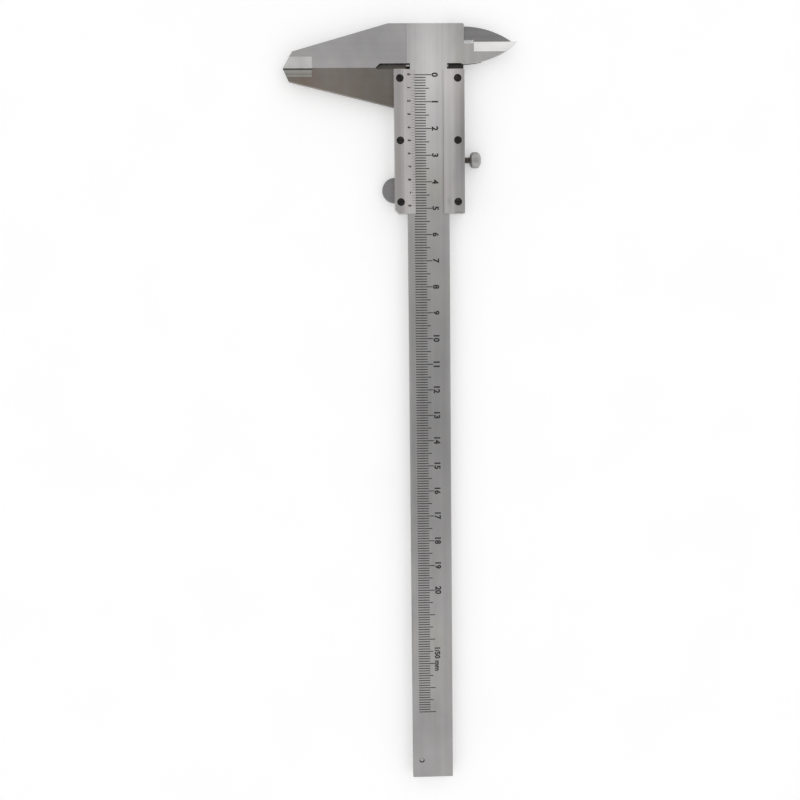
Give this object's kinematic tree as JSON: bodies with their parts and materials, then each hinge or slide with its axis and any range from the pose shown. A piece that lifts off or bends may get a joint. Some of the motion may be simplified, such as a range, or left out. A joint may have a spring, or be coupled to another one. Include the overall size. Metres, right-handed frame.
{
  "type": "vernier caliper",
  "caption": "Vernier caliper with outside jaws, inside nibs, a depth rod and a lock screw, whose slider reads millimetres and fiftieths along an engraved beam.",
  "frame": {"origin": "on the slider's back, where the plane of the closed outside jaws crosses the beam's centreline", "axes": "+X along the beam from the head to the far end, +Y towards the inside nibs and the lock screw, +Z out of the reading face"},
  "size_m": [0.2963, 0.089, 0.0068],
  "materials": {
    "beam_steel": "satin, ground along the beam",
    "pin_steel": "turned",
    "slider_steel": "ground, darker",
    "plate_steel": "satin, ground along the slider",
    "black_oxide": "black oxide",
    "phosphor_bronze": "rolled",
    "stud_steel": "dark, oiled thread",
    "knob_nickel": "matt nickel, finely knurled",
    "rod_steel": "drawn"
  },
  "bodies": {
    "beam": {"beam": "beam_steel", "stop_pin": "pin_steel"},
    "slider": {"slider_body": "slider_steel", "vernier_plate": "plate_steel", "guide_plate": "plate_steel", "vernier_plate_screws": "black_oxide", "guide_plate_screws": "black_oxide", "gib_spring": "phosphor_bronze", "depth_rod": "rod_steel", "depth_rod_screws": "black_oxide"},
    "lock_stud": {"lock_screw_stud": "stud_steel"},
    "lock_knob": {"lock_screw_knob": "knob_nickel"}
  },
  "joints": [
    {"name": "slider_slide", "type": "slide", "parent": "beam", "child": "slider", "axis": [1, 0, 0], "range_m": [0, 0.217]},
    {"name": "lock_screw_advance", "type": "slide", "parent": "slider", "child": "lock_stud", "axis": [0, 1, 0], "range_m": [-0.0003, 0.0009]},
    {"name": "lock_screw_turn", "type": "hinge", "parent": "lock_stud", "child": "lock_knob", "pos_m": [0.0346, 0.0159, 0.0034], "axis": [0, 1, 0], "range_deg": [-240, 720]}
  ],
  "couplings": [
    {"joint": "lock_screw_turn", "follows": "lock_screw_advance", "rad_per_m": 13962}
  ]
}
